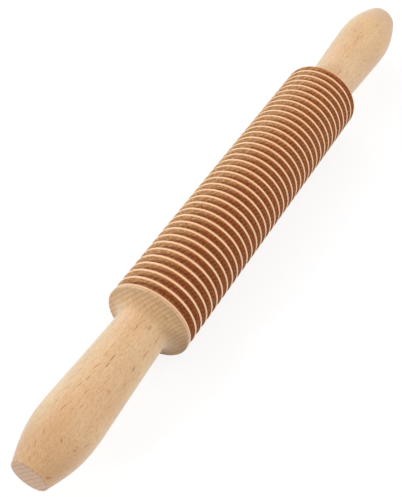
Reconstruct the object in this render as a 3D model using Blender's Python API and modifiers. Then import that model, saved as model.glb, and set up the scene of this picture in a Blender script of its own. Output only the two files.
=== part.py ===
"""A ribbed rolling pin that cuts a sheet of pasta into ribbons, turned in beech.

Metres, +Z up. The pin lies along X with the middle of its length over the origin,
and the lowest flats of its ridges touch Z = 0.
"""

import math

import bpy
from mathutils import Vector
from mathutils.geometry import interpolate_bezier

# Cutting barrel: the grooves leave thin ridges, and the two flange rims are the outermost ridges
RIBBON_PITCH = 0.0050
GROOVES = 37
RIDGE_RADIUS = 0.0214
RIDGE_LAND = 0.0012
GROOVE_DEPTH = 0.0036
GROOVE_WALL_LEAN = 0.0003

# Left handle, the near one in the photograph: rim, whose width holds its rounded outer edge, then
# the hollow cove, then the grip from its neck to its belly and flat end
LEFT_RIM_WIDTH = 0.0027
LEFT_RIM_ROUNDING = 0.0005
LEFT_COVE_LENGTH = 0.0065
LEFT_NECK_RADIUS = 0.0128
LEFT_BELLY_RADIUS = 0.01495
LEFT_TIP_RADIUS = 0.0090
LEFT_NECK_TO_BELLY = 0.0561
LEFT_BELLY_TO_TIP = 0.0276

# Right handle: turned by eye to the same pattern, a little shorter and stouter, with a thin rim
RIGHT_RIM_WIDTH = 0.0004
RIGHT_RIM_ROUNDING = 0.0002
RIGHT_COVE_LENGTH = 0.0076
RIGHT_NECK_RADIUS = 0.0130
RIGHT_BELLY_RADIUS = 0.01525
RIGHT_TIP_RADIUS = 0.0100
RIGHT_NECK_TO_BELLY = 0.0541
RIGHT_BELLY_TO_TIP = 0.0267

# Both handles: the eased edge of the flat end
TIP_EDGE_ROUNDING = 0.0006

# Bends of the grip's outline, each as shares of the length and of the change in radius
TAPER_BEND_SHARES = ((0.80, 0.74), (0.86, 1.00))
BELLY_BEND_SHARES = ((0.36, 0.00), (0.60, 0.30))

# Dowel glued through the barrel and into both handles
DOWEL_RADIUS = 0.0070
DOWEL_SEAT = 0.0400
DOWEL_CHAMFER = 0.0010
GLUE_GAP = 0.0003

# Smoothness of the turned shapes
TURN_STEPS = 32
TAPER_POINTS = 7
BELLY_POINTS = 9
COVE_POINTS = 7
EDGE_POINTS = 3
WELD_DISTANCE = 0.00001
CREASE_ANGLE = math.radians(30)

# Places that follow from the sizes above. Those of a handle count from the middle of its rim's ridge.
HALF_TURN_STEP = math.pi / TURN_STEPS
FLAT_TO_CORNER = 1 / math.cos(HALF_TURN_STEP)
RIDGE_HALF_LAND = RIDGE_LAND / 2
RIDGE_HALF_FOOT = RIDGE_HALF_LAND + GROOVE_WALL_LEAN
FLOOR_RADIUS = RIDGE_RADIUS - GROOVE_DEPTH
BORE_RADIUS = DOWEL_RADIUS + GLUE_GAP
LEFT_NECK_PLACE = LEFT_RIM_WIDTH - RIDGE_HALF_LAND + LEFT_COVE_LENGTH
LEFT_REACH = LEFT_NECK_PLACE + LEFT_NECK_TO_BELLY + LEFT_BELLY_TO_TIP
RIGHT_NECK_PLACE = RIGHT_RIM_WIDTH - RIDGE_HALF_LAND + RIGHT_COVE_LENGTH
RIGHT_REACH = RIGHT_NECK_PLACE + RIGHT_NECK_TO_BELLY + RIGHT_BELLY_TO_TIP
RIM_TO_RIM = GROOVES * RIBBON_PITCH
BARREL_MIDDLE = (LEFT_REACH - RIGHT_REACH) / 2
LEFT_RIM_PLACE = BARREL_MIDDLE - RIM_TO_RIM / 2
RIGHT_RIM_PLACE = BARREL_MIDDLE + RIM_TO_RIM / 2
BARREL_HALF_BED = RIM_TO_RIM / 2 - RIDGE_HALF_FOOT


def clear_scene():
    for old in list(bpy.data.objects):
        bpy.data.objects.remove(old, do_unlink=True)


def wood(name, colour, roughness):
    """A bare wood finish in one linear colour."""
    finish = bpy.data.materials.new(name)
    finish.use_nodes = True
    shader = finish.node_tree.nodes["Principled BSDF"]
    shader.inputs["Base Color"].default_value = (*colour, 1)
    shader.inputs["Roughness"].default_value = roughness
    shader.inputs["Metallic"].default_value = 0
    return finish


def arc(centre, across, along, start, end, count):
    """Points (radius, height) of an arc of an ellipse, from one angle to another."""
    points = []
    for i in range(count):
        angle = start + (end - start) * i / (count - 1)
        points.append((centre[0] + across * math.cos(angle), centre[1] + along * math.sin(angle)))
    return points


def bent_run(start, end, bend_shares, count):
    """Points (radius, height) of a smooth run, whose bends are shares of its length and radius change."""
    knots = [Vector((*start, 0))]
    for length_share, radius_share in bend_shares:
        radius = start[0] + (end[0] - start[0]) * radius_share
        height = start[1] + (end[1] - start[1]) * length_share
        knots.append(Vector((radius, height, 0)))
    knots.append(Vector((*end, 0)))
    return [(point.x, point.y) for point in interpolate_bezier(*knots, count)]


def turned(name, outline, closed, finish):
    """A turned piece about its local Z, from an outline that runs down its outer side, top to bottom."""
    profile = bpy.data.meshes.new(name)
    corners = [(radius * FLAT_TO_CORNER, 0, height) for radius, height in outline]
    edges = [(i, i + 1) for i in range(len(corners) - 1)]
    if closed:
        edges.append((len(corners) - 1, 0))
    profile.from_pydata(corners, edges, [])
    blank = bpy.data.objects.new(name + "_outline", profile)
    bpy.context.scene.collection.objects.link(blank)
    turning = blank.modifiers.new("turning", "SCREW")
    turning.axis = "Z"
    turning.angle = math.tau
    turning.steps = TURN_STEPS
    turning.render_steps = TURN_STEPS
    turning.use_merge_vertices = True
    turning.merge_threshold = WELD_DISTANCE
    graph = bpy.context.evaluated_depsgraph_get()
    mesh = bpy.data.meshes.new_from_object(blank.evaluated_get(graph))
    bpy.data.objects.remove(blank, do_unlink=True)
    mesh.name = name
    mesh.shade_smooth()
    mesh.set_sharp_from_angle(angle=CREASE_ANGLE)
    mesh.materials.append(finish)
    piece = bpy.data.objects.new(name, mesh)
    pieces.objects.link(piece)
    piece.parent = pin_axis
    return piece


def ridge(middle):
    """One cutting ridge, from the groove above it to the groove below."""
    return [
        (FLOOR_RADIUS, middle + RIDGE_HALF_FOOT),
        (RIDGE_RADIUS, middle + RIDGE_HALF_LAND),
        (RIDGE_RADIUS, middle - RIDGE_HALF_LAND),
        (FLOOR_RADIUS, middle - RIDGE_HALF_FOOT),
    ]


def barrel_outline():
    """The bored barrel, whose ends are the inner corners of the first and the last groove."""
    half_length = BARREL_HALF_BED - GLUE_GAP
    outline = [(BORE_RADIUS, half_length), (FLOOR_RADIUS, half_length)]
    for i in range(1, GROOVES):
        outline += ridge(RIM_TO_RIM / 2 - i * RIBBON_PITCH)
    outline += [(FLOOR_RADIUS, -half_length), (BORE_RADIUS, -half_length)]
    return outline


def handle_outline(rim_width, rim_rounding, cove_length, neck, belly, tip):
    """A handle from its flat end down to the face that is glued to the barrel, with its blind bore."""
    tip_corner = (tip[0] - TIP_EDGE_ROUNDING, tip[1] - TIP_EDGE_ROUNDING)
    rim_corner = (RIDGE_RADIUS - rim_rounding, rim_width - RIDGE_HALF_LAND - rim_rounding)
    cove_width = rim_corner[0] - neck[0]
    cove_centre = (rim_corner[0], neck[1])
    bore_end = DOWEL_SEAT + GLUE_GAP - RIDGE_HALF_FOOT
    outline = [(0, tip[1])]
    outline += arc(tip_corner, TIP_EDGE_ROUNDING, TIP_EDGE_ROUNDING, math.pi / 2, 0, EDGE_POINTS)
    from_tip = bent_run(belly, (tip[0], tip_corner[1]), BELLY_BEND_SHARES, BELLY_POINTS)
    outline += from_tip[-2::-1]
    from_belly = bent_run(neck, belly, TAPER_BEND_SHARES, TAPER_POINTS)
    outline += from_belly[-2::-1]
    cove = arc(cove_centre, cove_width, cove_length, math.pi, math.pi * 3 / 2, COVE_POINTS)
    outline += cove[1:]
    rim = arc(rim_corner, rim_rounding, rim_rounding, math.pi / 2, 0, EDGE_POINTS)
    outline += rim[1:]
    outline += ridge(0)[2:]
    outline += [(BORE_RADIUS, -RIDGE_HALF_FOOT), (BORE_RADIUS, bore_end), (0, bore_end)]
    return outline


def dowel_outline():
    """The dowel, with both ends chamfered to enter the bores."""
    end = BARREL_HALF_BED + DOWEL_SEAT
    shoulder = end - DOWEL_CHAMFER
    nose = DOWEL_RADIUS - DOWEL_CHAMFER
    upper = [(0, end), (nose, end), (DOWEL_RADIUS, shoulder)]
    lower = [(radius, -height) for radius, height in reversed(upper)]
    return upper + lower


clear_scene()
pieces = bpy.data.collections.new("pasta_cutter_rolling_pin")
bpy.context.scene.collection.children.link(pieces)

pin_axis = bpy.data.objects.new("pin_axis", None)
pin_axis.location = (0, 0, RIDGE_RADIUS)
pin_axis.rotation_euler = (0, math.pi / 2, 0)
pieces.objects.link(pin_axis)

handle_wood = wood("handle_beech", (0.73, 0.48, 0.26), 0.55)
barrel_wood = wood("barrel_beech", (0.42, 0.20, 0.09), 0.65)
dowel_wood = wood("dowel_beech", (0.66, 0.44, 0.25), 0.70)

barrel = turned("barrel", barrel_outline(), True, barrel_wood)
barrel.location = (0, 0, BARREL_MIDDLE)
barrel.rotation_euler = (0, 0, HALF_TURN_STEP)

right_outline = handle_outline(
    RIGHT_RIM_WIDTH,
    RIGHT_RIM_ROUNDING,
    RIGHT_COVE_LENGTH,
    neck=(RIGHT_NECK_RADIUS, RIGHT_NECK_PLACE),
    belly=(RIGHT_BELLY_RADIUS, RIGHT_NECK_PLACE + RIGHT_NECK_TO_BELLY),
    tip=(RIGHT_TIP_RADIUS, RIGHT_REACH),
)
right_handle = turned("right_handle", right_outline, False, handle_wood)
right_handle.location = (0, 0, RIGHT_RIM_PLACE)
right_handle.rotation_euler = (0, 0, HALF_TURN_STEP)

left_outline = handle_outline(
    LEFT_RIM_WIDTH,
    LEFT_RIM_ROUNDING,
    LEFT_COVE_LENGTH,
    neck=(LEFT_NECK_RADIUS, LEFT_NECK_PLACE),
    belly=(LEFT_BELLY_RADIUS, LEFT_NECK_PLACE + LEFT_NECK_TO_BELLY),
    tip=(LEFT_TIP_RADIUS, LEFT_REACH),
)
left_handle = turned("left_handle", left_outline, False, handle_wood.copy())
left_handle.location = (0, 0, LEFT_RIM_PLACE)
left_handle.rotation_euler = (math.pi, 0, HALF_TURN_STEP)

core_rod = turned("core_rod", dowel_outline(), False, dowel_wood)
core_rod.location = (0, 0, BARREL_MIDDLE)
core_rod.rotation_euler = (0, 0, HALF_TURN_STEP)
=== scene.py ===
import math

import bmesh
import bpy
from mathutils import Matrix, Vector
from mathutils.geometry import interpolate_bezier


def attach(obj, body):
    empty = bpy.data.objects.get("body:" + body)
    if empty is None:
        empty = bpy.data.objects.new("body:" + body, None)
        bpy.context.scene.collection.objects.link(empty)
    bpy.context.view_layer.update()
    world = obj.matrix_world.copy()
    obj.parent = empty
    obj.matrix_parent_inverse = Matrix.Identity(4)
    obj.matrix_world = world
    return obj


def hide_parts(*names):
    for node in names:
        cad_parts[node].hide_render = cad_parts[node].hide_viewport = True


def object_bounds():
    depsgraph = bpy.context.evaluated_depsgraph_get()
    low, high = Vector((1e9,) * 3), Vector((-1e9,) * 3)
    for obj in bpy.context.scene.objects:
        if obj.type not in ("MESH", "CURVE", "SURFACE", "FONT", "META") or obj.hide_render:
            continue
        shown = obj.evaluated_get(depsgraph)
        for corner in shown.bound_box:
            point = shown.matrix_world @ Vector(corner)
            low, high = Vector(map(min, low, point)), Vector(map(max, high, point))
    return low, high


# A ribbed rolling pin that cuts a sheet of pasta into ribbons, turned in bare beech.
# Metres, +Z up. The pin lies along X with the middle of its length over the origin, its near
# handle at -X, and its ridges rest on the floor at Z = 0.
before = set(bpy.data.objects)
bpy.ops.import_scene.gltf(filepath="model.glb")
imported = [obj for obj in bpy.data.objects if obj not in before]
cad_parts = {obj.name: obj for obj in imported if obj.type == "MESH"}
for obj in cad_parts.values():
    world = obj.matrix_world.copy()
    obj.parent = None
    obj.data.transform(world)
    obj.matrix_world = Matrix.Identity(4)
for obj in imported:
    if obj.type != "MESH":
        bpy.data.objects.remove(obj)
cad_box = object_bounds()

# Camera: it stands 0.4 m off the near handle, above it and to its right, and looks down along
# the pin. Place and lens come from fitting the photograph's ridges and outline.
camera_heading = math.radians(29.598)
camera_look_down = math.radians(47.385)
camera_aim = Vector((-0.04319, 0, 0.02443))
camera_reach = 0.45533
camera_focal_mm = 68.02
camera_sensor_mm = 36
camera_nearest = 0.02
camera_farthest = 50

camera_lens = bpy.data.cameras.new("photo_camera")
camera_lens.lens = camera_focal_mm
camera_lens.sensor_width = camera_sensor_mm
camera_lens.clip_start = camera_nearest
camera_lens.clip_end = camera_farthest
camera = bpy.data.objects.new("photo_camera", camera_lens)
camera_looks = Vector(
    (
        math.cos(camera_look_down) * math.cos(camera_heading),
        math.cos(camera_look_down) * math.sin(camera_heading),
        -math.sin(camera_look_down),
    )
)
camera.location = camera_aim - camera_looks * camera_reach
camera.rotation_euler = (math.pi / 2 - camera_look_down, 0, camera_heading - math.pi / 2)
bpy.context.scene.collection.objects.link(camera)
bpy.context.scene.camera = camera
bpy.context.scene.view_settings.view_transform = "Standard"

# Near handle, at -X: a grip turned in beech, with the cove and the flange at its inner end.
# The flange's rim is the first cutting ridge. A blind bore takes the dowel; the wood is bare.
ribbon_pitch = 0.0050
ridge_count = 36
ridge_radius = 0.0214
ridge_land = 0.0012
ridge_edge_rounding = 0.00012
groove_depth = 0.0036
groove_wall_lean = 0.0003
near_rim_place = -0.09045
tip_edge_rounding = 0.0006
near_handle_sizes = {
    "rim width": 0.0027,
    "rim rounding": 0.0005,
    "rim inner land": 0.0004,
    "cove length": 0.0065,
    "neck radius": 0.0128,
    "belly radius": 0.01495,
    "tip radius": 0.0090,
    "neck to belly": 0.0561,
    "belly to tip": 0.0276,
}
taper_bend_shares = ((0.80, 0.74), (0.86, 1.00))
belly_bend_shares = ((0.36, 0.00), (0.60, 0.30))
dowel_radius = 0.0070
dowel_seat = 0.0400
glue_gap = 0.0003

# Places that follow, those along a handle counted from the middle of its rim's ridge
half_pin = cad_box[1][0]
far_rim_place = near_rim_place + (ridge_count + 1) * ribbon_pitch
groove_floor_radius = ridge_radius - groove_depth
ridge_half_foot = ridge_land / 2 + groove_wall_lean
dowel_bore_radius = dowel_radius + glue_gap
dowel_bore_end = dowel_seat - ridge_half_foot + glue_gap

# How finely the outline is drawn and turned
tip_edge_points = 8
belly_points = 36
taper_points = 40
cove_points = 22
rim_edge_points = 7
ridge_edge_points = 4
handle_turn_steps = 144
handle_sharp_angle = math.radians(35)
weld_distance = 0.00001

# The log that the pin was sawn from; grain sizes run out from its heart, round it and along it
heart_distance = 0.234
log_shift = (0, 0.22007, -0.0169)
log_turn = (math.radians(-40.1), 0, math.radians(-0.26))
log_wander = (0, 0.001, 0.001)
ray_sway = (0, 0.0016, 0.0016)
ray_broad_side = (0, -0.644, 0.765)
broad_ray = (0.0034, 0.00046, 0.0085)
fine_ray = (0.0022, 0.00030, 0.0040)
ray_line = (0.0060, 0.0006, 0.0120)
pore = (0.0004, 0.0004, 0.0018)
scorch_streak = (0.0005, 0.0014, 0.0040)

# Slow changes of the wood, their sizes along the pin and across it, and its one knot
cloud = (0.0300, 0.0140, 0.0140)
fleck_cluster = (0.0140, 0.0080, 0.0080)
knot_place = (-0.1017, -0.0073, 0.0320)
knot_reach = (0.0018, 0.0005, 0.0030)

# Colours, the browns that are mixed in, and the tints that multiply what is there
beech_colours = {
    "pale": (0.78, 0.505, 0.265),
    "deep": (0.72, 0.43, 0.21),
    "ridge_tip": (0.97, 0.54, 0.28),
    "sawn_end": (0.62, 0.42, 0.26),
    # The grooves' brown: the cutter's browning, darkened further with painted shade
    "scorch_and_shade": (0.69, 0.328, 0.128),
}
deep_streak_shares = (0.56, 0.37, 0.20)
wood_browns = {
    "cut fibres": (0.49, 0.34, 0.17),
    "ray lines": (0.38, 0.20, 0.085),
    "pores": (0.50, 0.23, 0.06),
    "flecks": (0.32, 0.09, 0.0),
}
wood_tints = {
    "late wood": (0.82, 0.643, 0.49),
    # Painted light: the grips are paler and cooler on their bark side, which faces the lamps
    "grip, painted light": (0.99, 1.12, 1.18),
    "far grip": (0.99, 0.96, 0.79),
    "between the grips": (1.03, 1.07, 1.10),
    "knot": (0.60, 0.53, 0.40),
    "turned tip": (0.91, 0.86, 0.81),
    # Flange face tints are painted shade, darkest on the heart side, the pin's shaded side
    "flange shade, bark side": (0.94, 0.95, 0.95),
    "flange shade, heart side": (0.84, 0.82, 0.82),
    "flange edge": (0.87, 0.78, 0.74),
    # Ridge-tip tints are painted light: paler tips on the shaded heart side and on the lit bark side
    "ridge tip, painted light, heart side": (1.03, 1.09, 1.16),
    "ridge tip, painted light, bark side": (0.99, 1.08, 1.06),
    "groove, late wood": (0.85, 0.75, 0.63),
    "groove, near end": (0.94, 0.84, 0.80),
    "groove, far end": (1.08, 1.13, 1.18),
    # Painted light on the grooves' bark side, the pin's lit side, and painted shade under the tips on its
    # heart side
    "groove, painted light, bark side": (1.12, 1.60, 2.25),
    "groove, painted shade under the tips": (0.84, 0.74, 0.70),
}


def arc(centre, across, along, start, end, count):
    """Points (radius, distance from the rim) of an arc of an ellipse, from one angle to another."""
    points = []
    for i in range(count):
        angle = start + (end - start) * i / (count - 1)
        points.append((centre[0] + across * math.cos(angle), centre[1] + along * math.sin(angle)))
    return points


def bent_run(start, end, bend_shares, count):
    """Points of a smooth run, whose bends are shares of its length and of its change in radius."""
    knots = [Vector((*start, 0))]
    for length_share, radius_share in bend_shares:
        radius = start[0] + (end[0] - start[0]) * radius_share
        place = start[1] + (end[1] - start[1]) * length_share
        knots.append(Vector((radius, place, 0)))
    knots.append(Vector((*end, 0)))
    return [(point.x, point.y) for point in interpolate_bezier(*knots, count)]


def handle_outline(size):
    """A handle's outline, from its flat end to the face that meets the barrel, and into the bore."""
    rim_end = size["rim width"] - ridge_land / 2
    neck = (size["neck radius"], rim_end + size["cove length"])
    belly = (size["belly radius"], neck[1] + size["neck to belly"])
    tip = (size["tip radius"], belly[1] + size["belly to tip"])
    tip_corner = (tip[0] - tip_edge_rounding, tip[1] - tip_edge_rounding)
    rounding = size["rim rounding"]
    rim_corner = (ridge_radius - rounding, rim_end - rounding)
    edge = ridge_edge_rounding
    edge_corner = (ridge_radius - edge, edge - size["rim inner land"])
    cove_centre = (rim_corner[0], neck[1])
    cove_width = rim_corner[0] - neck[0]
    cove_length = size["cove length"]
    outline = [(0, tip[1]), (tip[0] / 2, tip[1])]
    outline += arc(tip_corner, tip_edge_rounding, tip_edge_rounding, math.pi / 2, 0, tip_edge_points)
    outline += bent_run(belly, (tip[0], tip_corner[1]), belly_bend_shares, belly_points)[-2::-1]
    outline += bent_run(neck, belly, taper_bend_shares, taper_points)[-2::-1]
    outline += arc(cove_centre, cove_width, cove_length, math.pi, math.pi * 3 / 2, cove_points)[1:]
    outline += arc(rim_corner, rounding, rounding, math.pi / 2, 0, rim_edge_points)[1:]
    outline += arc(edge_corner, edge, edge, 0, -math.pi / 2, ridge_edge_points)
    outline += [
        (groove_floor_radius, -ridge_half_foot),
        (dowel_bore_radius, -ridge_half_foot),
        (dowel_bore_radius, dowel_bore_end),
        (0, dowel_bore_end),
    ]
    return outline


def turned_handle(name, rim_place, end, size):
    """A handle spun about the pin's axis from its outline; end is -1 at the near end, +1 at the far."""
    profile = bpy.data.meshes.new(name)
    corners = [(rim_place + end * place, 0, radius) for radius, place in handle_outline(size)]
    profile.from_pydata(corners, [(i, i + 1) for i in range(len(corners) - 1)], [])
    blank = bpy.data.objects.new(name + "_outline", profile)
    bpy.context.scene.collection.objects.link(blank)
    turning = blank.modifiers.new("turning", "SCREW")
    turning.axis = "X"
    turning.steps = handle_turn_steps
    turning.render_steps = handle_turn_steps
    graph = bpy.context.evaluated_depsgraph_get()
    mesh = bpy.data.meshes.new_from_object(blank.evaluated_get(graph))
    bpy.data.objects.remove(blank, do_unlink=True)
    shape = bmesh.new()
    shape.from_mesh(mesh)
    bmesh.ops.remove_doubles(shape, verts=shape.verts, dist=weld_distance)
    bmesh.ops.recalc_face_normals(shape, faces=shape.faces)
    bmesh.ops.translate(shape, verts=shape.verts, vec=(0, 0, ridge_radius))
    shape.to_mesh(mesh)
    shape.free()
    mesh.shade_smooth()
    mesh.set_sharp_from_angle(angle=handle_sharp_angle)
    piece = bpy.data.objects.new(name, mesh)
    bpy.context.scene.collection.objects.link(piece)
    return piece


def add_node(tree, kind, settings, inputs):
    """A node with its settings and inputs; an input is a plain value or another node's output."""
    node = tree.nodes.new(kind)
    for key, value in settings.items():
        setattr(node, key, value)
    for key, value in inputs.items():
        if isinstance(value, bpy.types.NodeSocket):
            tree.links.new(value, node.inputs[key])
        else:
            node.inputs[key].default_value = value
    return node


def maths(tree, operation, first, second=0.0, third=0.0):
    """One sum on numbers."""
    node = add_node(tree, "ShaderNodeMath", {"operation": operation}, {0: first, 1: second, 2: third})
    return node.outputs[0]


def ramp(tree, value, low, high, low_result=0.0, high_result=1.0):
    """A soft step from one result to the other, as the value goes from low to high."""
    inputs = {0: value, 1: low, 2: high, 3: low_result, 4: high_result}
    node = add_node(tree, "ShaderNodeMapRange", {"interpolation_type": "SMOOTHSTEP"}, inputs)
    return node.outputs[0]


def mixed(tree, amount, first, second, blend="MIX"):
    """The first colour mixed with the second by the amount; a plain one is red, green and blue."""
    colours = [(*colour, 1) if isinstance(colour, tuple) else colour for colour in (first, second)]
    settings = {"data_type": "RGBA", "blend_type": blend}
    node = add_node(tree, "ShaderNodeMix", settings, {0: amount, 6: colours[0], 7: colours[1]})
    return node.outputs[2]


def tinted(tree, amount, colour, tint):
    """The colour multiplied by the tint, as far as the amount says."""
    return mixed(tree, amount, colour, tint, "MULTIPLY")


def log_space(tree, where):
    """Distance out from the heart of the log, 234 mm off, place round the heart, and place along it."""
    turned_log = add_node(
        tree,
        "ShaderNodeMapping",
        {"vector_type": "POINT"},
        {"Vector": where, "Location": log_shift, "Rotation": log_turn},
    )
    wander = add_node(tree, "ShaderNodeTexNoise", {}, {"Vector": where, "Scale": 26, "Detail": 1})
    bent_log = add_node(
        tree,
        "ShaderNodeVectorMath",
        {"operation": "MULTIPLY_ADD"},
        {0: wander.outputs["Color"], 1: log_wander, 2: turned_log.outputs[0]},
    )
    parts = add_node(tree, "ShaderNodeSeparateXYZ", {}, {0: bent_log.outputs[0]}).outputs
    across = add_node(tree, "ShaderNodeCombineXYZ", {}, {1: parts[1], 2: parts[2]})
    outward = add_node(tree, "ShaderNodeVectorMath", {"operation": "LENGTH"}, {0: across.outputs[0]})
    sideways = maths(tree, "MULTIPLY", maths(tree, "ARCTAN2", parts[2], parts[1]), heart_distance)
    unrolled = add_node(
        tree,
        "ShaderNodeCombineXYZ",
        {},
        {0: outward.outputs["Value"], 1: sideways, 2: parts[0]},
    )
    return unrolled.outputs[0]


def stretched(tree, vector, cells):
    """The vector counted in cells of the given size in metres along each direction."""
    inputs = {"Vector": vector, "Scale": [1 / cell for cell in cells]}
    return add_node(tree, "ShaderNodeMapping", {"vector_type": "POINT"}, inputs).outputs[0]


def stretched_noise(tree, vector, cells, detail):
    """Noise whose grains have the given size in metres along each direction."""
    inputs = {"Vector": stretched(tree, vector, cells), "Scale": 1, "Detail": detail, "Roughness": 0.6}
    return add_node(tree, "ShaderNodeTexNoise", {}, inputs).outputs["Fac"]


def ray_flecks(tree, unrolled, cells):
    """Beech's rays: thin blades that stand out from the heart, a little bent, each of its own depth."""
    bends = add_node(tree, "ShaderNodeTexNoise", {}, {"Vector": unrolled, "Scale": 110, "Detail": 1})
    bent = add_node(
        tree,
        "ShaderNodeVectorMath",
        {"operation": "MULTIPLY_ADD"},
        {0: bends.outputs["Color"], 1: ray_sway, 2: unrolled},
    )
    blades = add_node(
        tree,
        "ShaderNodeTexVoronoi",
        {"feature": "F1", "distance": "EUCLIDEAN"},
        {"Vector": stretched(tree, bent.outputs[0], cells), "Scale": 1, "Randomness": 1},
    )
    core = ramp(tree, blades.outputs["Distance"], 0.12, 0.38, 1.0, 0.0)
    kind = add_node(tree, "ShaderNodeSeparateColor", {}, {0: blades.outputs["Color"]})
    depth = ramp(tree, kind.outputs[0], 0.60, 0.92, 0.02, 1.0)
    return maths(tree, "MULTIPLY", core, depth)


def wood_grain(tree, spot, unrolled):
    """What the grain shows at a point: rings, rays and pores, and how squarely its fibres are cut."""
    where = spot.outputs["Object"]
    facing = add_node(tree, "ShaderNodeSeparateXYZ", {}, {0: spot.outputs["Normal"]})
    endwise = maths(tree, "ABSOLUTE", facing.outputs[0])
    to_rays = add_node(
        tree,
        "ShaderNodeVectorMath",
        {"operation": "DOT_PRODUCT"},
        {0: spot.outputs["Normal"], 1: ray_broad_side},
    )
    rays_cut = ramp(tree, maths(tree, "ABSOLUTE", to_rays.outputs["Value"]), 0.94, 1.0, 1.0, 0.35)

    # Growth rings 2.05 mm apart: this wave repeats every pi / 10 / Scale
    rings = add_node(
        tree,
        "ShaderNodeTexWave",
        {"wave_type": "BANDS", "bands_direction": "X", "wave_profile": "SIN"},
        {"Vector": unrolled, "Scale": 153.2, "Distortion": 1.2, "Detail": 2, "Detail Scale": 0.6},
    )

    # Flecks where rays are cut across, in clusters
    fine_flecks = maths(tree, "MULTIPLY", ray_flecks(tree, unrolled, fine_ray), 0.7)
    flecks = maths(tree, "MAXIMUM", ray_flecks(tree, unrolled, broad_ray), fine_flecks)
    clusters = ramp(tree, stretched_noise(tree, where, fleck_cluster, 1), 0.38, 0.62, 0.7, 1.0)
    flecks = maths(tree, "MULTIPLY", maths(tree, "MULTIPLY", flecks, clusters), rays_cut)
    return {
        "endwise": endwise,
        "end on": ramp(tree, endwise, 0.35, 0.95),
        "fibres cut": ramp(tree, endwise, 0.05, 0.60),
        "late wood": ramp(tree, rings.outputs["Fac"], 0.9, 0.1),
        "flecks": flecks,
        "ray lines": stretched_noise(tree, unrolled, ray_line, 1),
        "pores": stretched_noise(tree, unrolled, pore, 2),
        "cloud": stretched_noise(tree, where, cloud, 2),
        "streaks": stretched_noise(tree, unrolled, scorch_streak, 2),
    }


def pin_places(tree, where, unrolled):
    """Where a point is: along the pin, off its middle, axis and rims, and out from the heart."""
    along = add_node(tree, "ShaderNodeSeparateXYZ", {}, {0: where}).outputs[0]
    from_axis = add_node(
        tree,
        "ShaderNodeVectorMath",
        {"operation": "MULTIPLY_ADD"},
        {0: where, 1: (0, 1, 1), 2: (0, 0, -ridge_radius)},
    )
    radius = add_node(tree, "ShaderNodeVectorMath", {"operation": "LENGTH"}, {0: from_axis.outputs[0]})
    from_heart = add_node(tree, "ShaderNodeSeparateXYZ", {}, {0: unrolled}).outputs[0]
    return {
        "where": where,
        "along": along,
        "from middle": maths(tree, "ABSOLUTE", along),
        "radius": radius.outputs["Value"],
        "past near rim": maths(tree, "SUBTRACT", along, near_rim_place),
        "before far rim": maths(tree, "SUBTRACT", far_rim_place, along),
        "from heart": from_heart,
        "heart side": ramp(tree, from_heart, 0.230, 0.244, 1.0, 0.0),
    }


def clean_wood(tree, grain, place, pale, deep, sawn_end):
    """Bare wood's colour, with its rings, rays and pores, its slow changes and its knot, and painted
    light on the grips' lit side.
    """
    colour = mixed(tree, ramp(tree, grain["cloud"], 0.3, 0.7), pale, deep)
    fibre_shade = maths(tree, "MULTIPLY", grain["fibres cut"], 0.34)
    colour = mixed(tree, fibre_shade, colour, wood_browns["cut fibres"])
    at_end = ramp(tree, place["from middle"], half_pin - 0.0006, half_pin - 0.0002)
    colour = mixed(tree, maths(tree, "MULTIPLY", at_end, 0.8), colour, sawn_end)
    ring_depth = ramp(tree, grain["endwise"], 0.2, 0.9, 0.10, 0.62)
    ring_depth = maths(tree, "MULTIPLY_ADD", at_end, 0.22, ring_depth)
    ring_shade = maths(tree, "MULTIPLY", grain["late wood"], ring_depth)
    colour = tinted(tree, ring_shade, colour, wood_tints["late wood"])
    line_depth = ramp(tree, grain["end on"], 0, 1, 0.04, 0.40)
    line_shade = maths(tree, "MULTIPLY", ramp(tree, grain["ray lines"], 0.50, 0.66), line_depth)
    colour = mixed(tree, line_shade, colour, wood_browns["ray lines"])
    pore_shade = ramp(tree, grain["pores"], 0.44, 0.70, 0.0, 0.48)
    colour = mixed(tree, pore_shade, colour, wood_browns["pores"])
    fleck_shade = maths(tree, "MULTIPLY", grain["flecks"], 0.9)
    colour = mixed(tree, fleck_shade, colour, wood_browns["flecks"])

    # The grips are paler towards the bark, their lit side, as painted light; the far one is yellower, and
    # the wood between is cooler
    on_grip = ramp(tree, place["from middle"], 0.0970, 0.1040)
    grip_lit_side = maths(tree, "MULTIPLY", ramp(tree, place["from heart"], 0.2455, 0.2490), on_grip)
    colour = tinted(tree, grip_lit_side, colour, wood_tints["grip, painted light"])
    on_far_grip = ramp(tree, place["along"], 0.0950, 0.1650)
    colour = tinted(tree, on_far_grip, colour, wood_tints["far grip"])
    between_grips = ramp(tree, place["from middle"], 0.1100, 0.1500, 1.0, 0.0)
    colour = tinted(tree, between_grips, colour, wood_tints["between the grips"])

    # A pin knot where the near neck runs into its cove
    knot = add_node(
        tree,
        "ShaderNodeMapping",
        {"vector_type": "TEXTURE"},
        {"Vector": place["where"], "Location": knot_place, "Scale": knot_reach},
    )
    from_knot = add_node(tree, "ShaderNodeVectorMath", {"operation": "LENGTH"}, {0: knot.outputs[0]})
    knot_shade = ramp(tree, from_knot.outputs["Value"], 0.3, 1.3, 0.95, 0.0)
    colour = tinted(tree, knot_shade, colour, wood_tints["knot"])

    # The handles are darker and greyer towards their turned tips
    at_tip = ramp(tree, place["from middle"], half_pin - 0.032, half_pin - 0.006)
    return tinted(tree, at_tip, colour, wood_tints["turned tip"])


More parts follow.
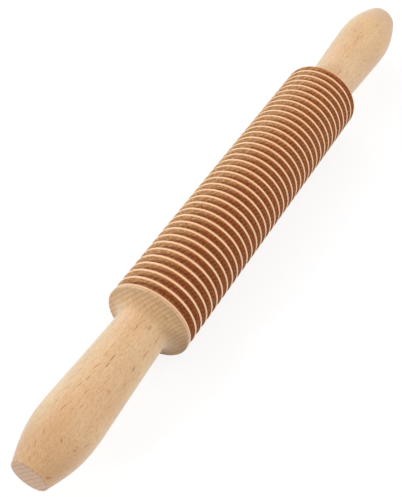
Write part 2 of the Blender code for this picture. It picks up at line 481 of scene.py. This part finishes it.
def with_ridge_tips(tree, place, colour, ridge_tip):
    """The wood with its ridge tips sanded pale and lightened with painted light, and with the near
    flange's face darkened with painted shade and its edge toned darker and greyer.
    """
    past_rim = place["past near rim"]
    heart_side = place["heart side"]
    # Painted shade: the flange's face is darkened, most on the heart side, the pin's shaded side
    face_shade = mixed(tree, heart_side, wood_tints["flange shade, bark side"], wood_tints["flange shade, heart side"])
    at_edge = ramp(tree, past_rim, -0.0018, -0.0015)
    flange_tint = mixed(tree, at_edge, face_shade, wood_tints["flange edge"])
    at_flange = ramp(tree, place["radius"], 0.0165, 0.0200)
    at_flange = maths(tree, "MULTIPLY", at_flange, ramp(tree, past_rim, 0, 0.0003, 1, 0))
    colour = tinted(tree, at_flange, colour, flange_tint)
    # Painted light: the sanded tips are lightened on the heart side and again on the bark side
    sanded_and_lit = tinted(tree, heart_side, ridge_tip, wood_tints["ridge tip, painted light, heart side"])
    lit_side = ramp(tree, place["from heart"], 0.2530, 0.2552)
    sanded_and_lit = tinted(tree, lit_side, sanded_and_lit, wood_tints["ridge tip, painted light, bark side"])
    on_tip = ramp(tree, place["radius"], ridge_radius - 0.0004, ridge_radius - 0.0001)
    on_tip = maths(tree, "MULTIPLY", on_tip, ramp(tree, past_rim, -0.0009, 0.0001))
    return mixed(tree, maths(tree, "MULTIPLY", on_tip, 0.80), colour, sanded_and_lit)


def groove_skin(tree, grain, place, scorch_and_shade):
    """The grooves' browned wood with painted shade: in streaks, darker on late wood, paler towards the
    bark as painted light on the lit side but less at the floors, and darker under the tips on the heart
    side as painted shade.
    """
    scorch_and_shade_deep = tuple(part * share for part, share in zip(scorch_and_shade, deep_streak_shares))
    groove_tone = mixed(tree, ramp(tree, grain["streaks"], 0.30, 0.70), scorch_and_shade, scorch_and_shade_deep)
    groove_tone = tinted(tree, grain["late wood"], groove_tone, wood_tints["groove, late wood"])
    to_far_end = ramp(tree, place["along"], -0.09, 0.06)
    hue = mixed(tree, to_far_end, wood_tints["groove, near end"], wood_tints["groove, far end"])
    floor = groove_floor_radius
    # Painted light: the grooves pale towards the bark, their lit side, and half as much at their floors,
    # which is painted shade
    clear_of_floor_shade = ramp(tree, place["radius"], floor + 0.0003, floor + 0.0016, 0.5, 1.0)
    groove_lit_side = maths(tree, "MULTIPLY", ramp(tree, place["from heart"], 0.2415, 0.2535), clear_of_floor_shade)
    hue = mixed(tree, groove_lit_side, hue, wood_tints["groove, painted light, bark side"])
    groove_tone = tinted(tree, 1.0, groove_tone, hue)
    # Painted shade: the upper groove walls under the tips darken on the heart side, the pin's shaded side
    shade_under_tips = ramp(tree, place["radius"], ridge_radius - 0.0016, ridge_radius - 0.0004)
    shade_under_tips = maths(tree, "MULTIPLY", shade_under_tips, place["heart side"])
    return tinted(tree, shade_under_tips, groove_tone, wood_tints["groove, painted shade under the tips"])


def turned_beech(name, pale, deep, ridge_tip, sawn_end, scorch_and_shade):
    """Bare beech: growth rings, ray flecks, pores, end grain, and grooves browned by the cutter and
    darkened with painted shade.
    """
    finish = bpy.data.materials.new(name)
    finish.use_nodes = True
    tree = finish.node_tree
    shader = tree.nodes["Principled BSDF"]
    spot = add_node(tree, "ShaderNodeTexCoord", {}, {})
    unrolled = log_space(tree, spot.outputs["Object"])
    grain = wood_grain(tree, spot, unrolled)
    place = pin_places(tree, spot.outputs["Object"], unrolled)
    colour = clean_wood(tree, grain, place, pale, deep, sawn_end)
    colour = with_ridge_tips(tree, place, colour, ridge_tip)

    # The grooves, all that lies between the two rims up to just under the ridges' edges, are browned by
    # the cutter and darkened with painted shade
    in_grooves = ramp(tree, place["radius"], ridge_radius - 0.00022, ridge_radius - 0.00008, 1, 0)
    in_grooves = maths(tree, "MULTIPLY", in_grooves, ramp(tree, place["past near rim"], -0.0001, 0))
    in_grooves = maths(tree, "MULTIPLY", in_grooves, ramp(tree, place["before far rim"], 0.0004, 0.0005))
    skin = groove_skin(tree, grain, place, scorch_and_shade)
    colour = mixed(tree, maths(tree, "MULTIPLY", in_grooves, 0.96), colour, skin)
    tree.links.new(colour, shader.inputs["Base Color"])

    # Sanded side grain is a little smoother than the open end grain and the rough groove walls
    coarse = maths(tree, "MAXIMUM", in_grooves, grain["end on"])
    rough = ramp(tree, grain["pores"], 0.3, 0.7, 0.42, 0.54)
    rough = maths(tree, "ADD", rough, maths(tree, "MULTIPLY", coarse, 0.14))
    tree.links.new(rough, shader.inputs["Roughness"])
    tree.links.new(ramp(tree, in_grooves, 0, 1, 0.5, 0), shader.inputs["Sheen Weight"])
    shader.inputs["Sheen Roughness"].default_value = 0.55
    shader.inputs["Specular IOR Level"].default_value = 0.5
    inputs = {"Strength": 0.2, "Distance": 0.0001, "Height": grain["pores"]}
    relief = add_node(tree, "ShaderNodeBump", {}, inputs)
    tree.links.new(relief.outputs[0], shader.inputs["Normal"])
    return finish


handle_beech = turned_beech("handle_beech", **beech_colours)
near_handle = turned_handle("near_handle", near_rim_place, -1, near_handle_sizes)
near_handle.data.materials.append(handle_beech)
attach(near_handle, "root")
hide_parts("left_handle")

# Barrel: beech between the two flanges, with a groove cut square every 5 mm, so that thin flat
# ridges stand up to cut the dough. The grooves are browned by the cutter and darkened with painted shade;
# the tips are sanded.
barrel_middle = (near_rim_place + far_rim_place) / 2
barrel_half_length = (far_rim_place - near_rim_place) / 2 - ridge_half_foot - glue_gap
barrel_turn_steps = 128
corner_points = 2
barrel_sharp_angle = math.radians(50)
sweep_path_radius = 0.000001


def barrel_tree(finish):
    """One ridge, swept round the pin and repeated along it, closed by a bored body with two flat ends."""
    tree = bpy.data.node_groups.new("grooved_barrel", "GeometryNodeTree")
    tree.interface.new_socket("Geometry", in_out="OUTPUT", socket_type="NodeSocketGeometry")
    for name in ("Ribbon pitch", "Ridge radius", "Land", "Groove depth", "Wall lean"):
        tree.interface.new_socket(name, in_out="INPUT", socket_type="NodeSocketFloat")
    for name in ("Edge rounding", "Half length", "Bore radius"):
        tree.interface.new_socket(name, in_out="INPUT", socket_type="NodeSocketFloat")
    for name in ("Ridges", "Turn steps", "Corner points"):
        tree.interface.new_socket(name, in_out="INPUT", socket_type="NodeSocketInt")
    size = add_node(tree, "NodeGroupInput", {}, {}).outputs

    half_land = maths(tree, "MULTIPLY", size["Land"], 0.5)
    half_foot = maths(tree, "ADD", half_land, size["Wall lean"])
    half_pitch = maths(tree, "MULTIPLY", size["Ribbon pitch"], 0.5)
    floor_radius = maths(tree, "SUBTRACT", size["Ridge radius"], size["Groove depth"])
    last_floor = maths(tree, "MULTIPLY", half_pitch, size["Ridges"])

    def profile(points):
        """A poly curve through (radius, place along the pin) points, in the plane that is swept round."""
        line = add_node(tree, "GeometryNodeMeshLine", {}, {"Count": len(points), "Offset": (0, 0, 0)})
        curve = add_node(tree, "GeometryNodeMeshToCurve", {}, {0: line.outputs[0]})
        order = add_node(tree, "GeometryNodeInputIndex", {}, {}).outputs[0]
        spots = add_node(tree, "GeometryNodeIndexSwitch", {"data_type": "VECTOR"}, {"Index": order})
        for _ in points[2:]:
            spots.index_switch_items.new()
        for i, (radius, place) in enumerate(points):
            spot = add_node(tree, "ShaderNodeCombineXYZ", {}, {0: radius, 1: place})
            tree.links.new(spot.outputs[0], spots.inputs[i + 1])
        inputs = {"Geometry": curve.outputs[0], "Position": spots.outputs[0]}
        return add_node(tree, "GeometryNodeSetPosition", {}, inputs).outputs[0]

    def swept(curve):
        """The profile turned round Z; the path's own circle is too small to add to its radius."""
        circle = {"Resolution": size["Turn steps"], "Radius": sweep_path_radius}
        path = add_node(tree, "GeometryNodeCurvePrimitiveCircle", {}, circle)
        inputs = {"Curve": path.outputs[0], "Profile Curve": curve}
        return add_node(tree, "GeometryNodeCurveToMesh", {}, inputs).outputs[0]

    minus_half_foot = maths(tree, "MULTIPLY", half_foot, -1)
    minus_half_land = maths(tree, "MULTIPLY", half_land, -1)
    minus_half_pitch = maths(tree, "MULTIPLY", half_pitch, -1)
    minus_last_floor = maths(tree, "MULTIPLY", last_floor, -1)
    minus_half_length = maths(tree, "MULTIPLY", size["Half length"], -1)
    one_ridge = profile(
        (
            (floor_radius, half_pitch),
            (floor_radius, half_foot),
            (size["Ridge radius"], half_land),
            (size["Ridge radius"], minus_half_land),
            (floor_radius, minus_half_foot),
            (floor_radius, minus_half_pitch),
        )
    )
    rounded = add_node(
        tree,
        "GeometryNodeFilletCurve",
        {"mode": "POLY"},
        {"Curve": one_ridge, "Count": size["Corner points"], "Radius": size["Edge rounding"]},
    )
    body = profile(
        (
            (floor_radius, last_floor),
            (floor_radius, size["Half length"]),
            (size["Bore radius"], size["Half length"]),
            (size["Bore radius"], minus_half_length),
            (floor_radius, minus_half_length),
            (floor_radius, minus_last_floor),
        )
    )
    step = add_node(tree, "ShaderNodeCombineXYZ", {}, {2: size["Ribbon pitch"]})
    first_place = maths(tree, "ADD", minus_last_floor, half_pitch)
    first = add_node(tree, "ShaderNodeCombineXYZ", {}, {2: first_place})
    row = add_node(
        tree,
        "GeometryNodeMeshLine",
        {},
        {"Count": size["Ridges"], "Start Location": first.outputs[0], "Offset": step.outputs[0]},
    )
    ridges = add_node(
        tree,
        "GeometryNodeInstanceOnPoints",
        {},
        {"Points": row.outputs[0], "Instance": swept(rounded.outputs[0])},
    )
    joined = add_node(tree, "GeometryNodeJoinGeometry", {}, {})
    tree.links.new(swept(body), joined.inputs[0])
    tree.links.new(ridges.outputs[0], joined.inputs[0])
    laid = add_node(
        tree,
        "GeometryNodeTransform",
        {},
        {
            "Geometry": joined.outputs[0],
            "Translation": (barrel_middle, 0, ridge_radius),
            "Rotation": (0, math.pi / 2, 0),
        },
    )
    real = add_node(tree, "GeometryNodeRealizeInstances", {}, {0: laid.outputs[0]})
    welded = add_node(
        tree,
        "GeometryNodeMergeByDistance",
        {},
        {"Geometry": real.outputs[0], "Distance": weld_distance},
    )
    coated = add_node(
        tree,
        "GeometryNodeSetMaterial",
        {},
        {"Geometry": welded.outputs[0], "Material": finish},
    )
    add_node(tree, "NodeGroupOutput", {}, {0: coated.outputs[0]})
    return tree


barrel_beech = turned_beech("barrel_beech", **beech_colours)
barrel_blank = bpy.data.objects.new("barrel_blank", bpy.data.meshes.new("barrel_blank"))
bpy.context.scene.collection.objects.link(barrel_blank)
grooving = barrel_blank.modifiers.new("grooving", "NODES")
grooving.node_group = barrel_tree(barrel_beech)
barrel_sizes = {
    "Ribbon pitch": ribbon_pitch,
    "Ridge radius": ridge_radius,
    "Land": ridge_land,
    "Groove depth": groove_depth,
    "Wall lean": groove_wall_lean,
    "Edge rounding": ridge_edge_rounding,
    "Half length": barrel_half_length,
    "Bore radius": dowel_bore_radius,
    "Ridges": ridge_count,
    "Turn steps": barrel_turn_steps,
    "Corner points": corner_points,
}
for socket in grooving.node_group.interface.items_tree:
    if socket.in_out == "INPUT":
        grooving[socket.identifier] = barrel_sizes[socket.name]
barrel_graph = bpy.context.evaluated_depsgraph_get()
barrel_mesh = bpy.data.meshes.new_from_object(barrel_blank.evaluated_get(barrel_graph))
bpy.data.objects.remove(barrel_blank, do_unlink=True)
barrel_shape = bmesh.new()
barrel_shape.from_mesh(barrel_mesh)
bmesh.ops.recalc_face_normals(barrel_shape, faces=barrel_shape.faces)
barrel_shape.to_mesh(barrel_mesh)
barrel_shape.free()
barrel_mesh.shade_smooth()
barrel_mesh.set_sharp_from_angle(angle=barrel_sharp_angle)
grooved_barrel = bpy.data.objects.new("grooved_barrel", barrel_mesh)
bpy.context.scene.collection.objects.link(grooved_barrel)
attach(grooved_barrel, "root")
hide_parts("barrel")

# Far handle, at +X: beech again, turned by eye to the near one's pattern, so it is a little
# shorter and stouter. The last groove cuts its rim down to a thin edge. Glued on like the near one.
far_handle_sizes = {
    "rim width": 0.0004,
    "rim rounding": 0.0002,
    "rim inner land": 0.0006,
    "cove length": 0.0076,
    "neck radius": 0.0130,
    "belly radius": 0.01525,
    "tip radius": 0.0100,
    "neck to belly": 0.0541,
    "belly to tip": 0.0267,
}
far_handle = turned_handle("far_handle", far_rim_place, 1, far_handle_sizes)
far_handle.data.materials.append(handle_beech)
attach(far_handle, "root")
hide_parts("right_handle")

# Dowel: a plain beech rod glued through the barrel and 40 mm into each handle. It is hidden in
# the finished pin, so the model's own rod stays and only takes its wood.
dowel_beech = turned_beech(
    "dowel_beech",
    pale=(0.70, 0.47, 0.27),
    deep=(0.62, 0.40, 0.22),
    ridge_tip=(0.70, 0.47, 0.27),
    sawn_end=(0.55, 0.36, 0.23),
    scorch_and_shade=beech_colours["scorch_and_shade"],
)
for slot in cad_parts["core_rod"].material_slots:
    slot.material = dowel_beech

# Floor and light: a white sweep that the camera sees as white apart from the pin's own faint
# shadow, a low lamp from the near left, two broad ones from the left and the back right, and an
# even pale sky that fills from all sides.
floor_half = 6.0
floor_gap = 0.0001
floor_paint_grey = (0.80, 0.80, 0.80, 1)
floor_shadow_grey = (0.26, 0.26, 0.26, 1)
floor_glow_strength = 0.80
sky_fill_strength = 0.488
white = (1, 1, 1, 1)
lamp_reach = 2

floor_mesh = bpy.data.meshes.new("floor")
floor_mesh.from_pydata(
    [
        (-floor_half, -floor_half, 0),
        (floor_half, -floor_half, 0),
        (floor_half, floor_half, 0),
        (-floor_half, floor_half, 0),
    ],
    [],
    [(0, 1, 2, 3)],
)
floor = bpy.data.objects.new("floor", floor_mesh)
floor.location.z = -floor_gap
bpy.context.scene.collection.objects.link(floor)
floor_finish = bpy.data.materials.new("white_floor")
floor_finish.use_nodes = True
floor_tree = floor_finish.node_tree
floor_tree.nodes.clear()
floor_paint = add_node(floor_tree, "ShaderNodeBsdfDiffuse", {}, {"Color": floor_paint_grey})
floor_glow = add_node(floor_tree, "ShaderNodeEmission", {}, {"Strength": floor_glow_strength})
floor_dim = add_node(floor_tree, "ShaderNodeBsdfDiffuse", {}, {"Color": floor_shadow_grey})
floor_seen = add_node(
    floor_tree,
    "ShaderNodeAddShader",
    {},
    {0: floor_glow.outputs[0], 1: floor_dim.outputs[0]},
)
floor_ray = add_node(floor_tree, "ShaderNodeLightPath", {}, {}).outputs
seen = maths(floor_tree, "MAXIMUM", floor_ray["Is Camera Ray"], floor_ray["Is Glossy Ray"])
seen = maths(floor_tree, "MAXIMUM", seen, floor_ray["Is Transmission Ray"])
floor_mix = add_node(
    floor_tree,
    "ShaderNodeMixShader",
    {},
    {0: seen, 1: floor_paint.outputs[0], 2: floor_seen.outputs[0]},
)
add_node(floor_tree, "ShaderNodeOutputMaterial", {}, {0: floor_mix.outputs[0]})
floor_mesh.materials.append(floor_finish)

sky = bpy.data.worlds.new("pale_sky")
bpy.context.scene.world = sky
sky.use_nodes = True
sky_tree = sky.node_tree
sky_tree.nodes.clear()
sky_ray = add_node(sky_tree, "ShaderNodeLightPath", {}, {}).outputs
sky_seen = maths(sky_tree, "MAXIMUM", sky_ray["Is Camera Ray"], sky_ray["Is Glossy Ray"])
sky_seen = maths(sky_tree, "MAXIMUM", sky_seen, sky_ray["Is Transmission Ray"])
sky_white = add_node(sky_tree, "ShaderNodeBackground", {}, {"Color": white, "Strength": 1.0})
sky_fill = add_node(
    sky_tree,
    "ShaderNodeBackground",
    {},
    {"Color": white, "Strength": sky_fill_strength},
)
sky_mix = add_node(
    sky_tree,
    "ShaderNodeMixShader",
    {},
    {0: sky_seen, 1: sky_fill.outputs[0], 2: sky_white.outputs[0]},
)
add_node(sky_tree, "ShaderNodeOutputWorld", {}, {0: sky_mix.outputs[0]})

# Each lamp's name, the way to it, its strength, and its spread in degrees
lamps = (
    ("side_lamp", (-0.84, 0.40, 0.36), 1.00, 12),
    ("back_right_lamp", (0.50, -0.66, 0.56), 1.22, 60),
    ("left_lamp", (0.20, 0.79, 0.58), 1.10, 60),
)
for lamp_name, lamp_from, lamp_strength, lamp_spread in lamps:
    light = bpy.data.lights.new(lamp_name, "SUN")
    light.energy = lamp_strength
    light.angle = math.radians(lamp_spread)
    lamp = bpy.data.objects.new(lamp_name, light)
    lamp.rotation_euler = Vector(lamp_from).to_track_quat("Z", "Y").to_euler()
    lamp.location = Vector(lamp_from).normalized() * lamp_reach
    bpy.context.scene.collection.objects.link(lamp)
